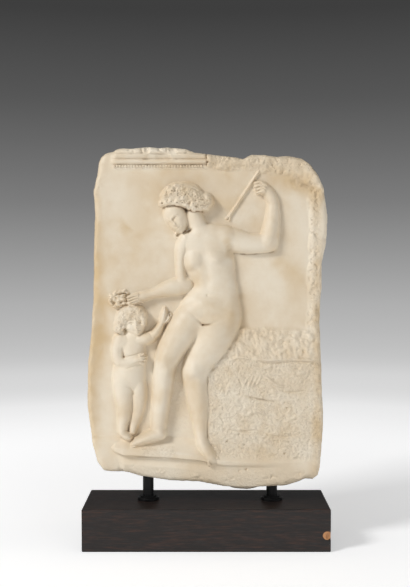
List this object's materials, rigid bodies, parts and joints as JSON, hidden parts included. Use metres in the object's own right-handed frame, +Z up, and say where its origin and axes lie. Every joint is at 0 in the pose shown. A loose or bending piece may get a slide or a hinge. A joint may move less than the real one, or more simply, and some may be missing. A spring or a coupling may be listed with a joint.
{
  "type": "carved marble relief plaque on a rod stand",
  "caption": "Broken marble slab carved in low relief with a standing woman and a child, held upright by steel rods with flange collars on a dark wooden block.",
  "frame": {"origin": "middle of the wooden block's underside, on the surface that the stand rests on", "axes": "+Z up along the slab's height, +X to the right of a viewer who faces the carving, +Y away from that viewer: the carved face looks along -Y"},
  "size_m": [0.333, 0.11, 0.544],
  "materials": {
    "marble": "warm cream marble with ochre patina, worn satin on the figures, rough where it is broken",
    "stained_wood": "near-black brown stain over open horizontal grain, dull satin, orange-tan bare wood in a chip",
    "black_steel": "satin black paint"
  },
  "bodies": {
    "root": {"marble_relief": "marble", "wood_base": "stained_wood", "rod_left": "black_steel", "rod_right": "black_steel", "collar_left": "black_steel", "collar_right": "black_steel"}
  },
  "joints": []
}
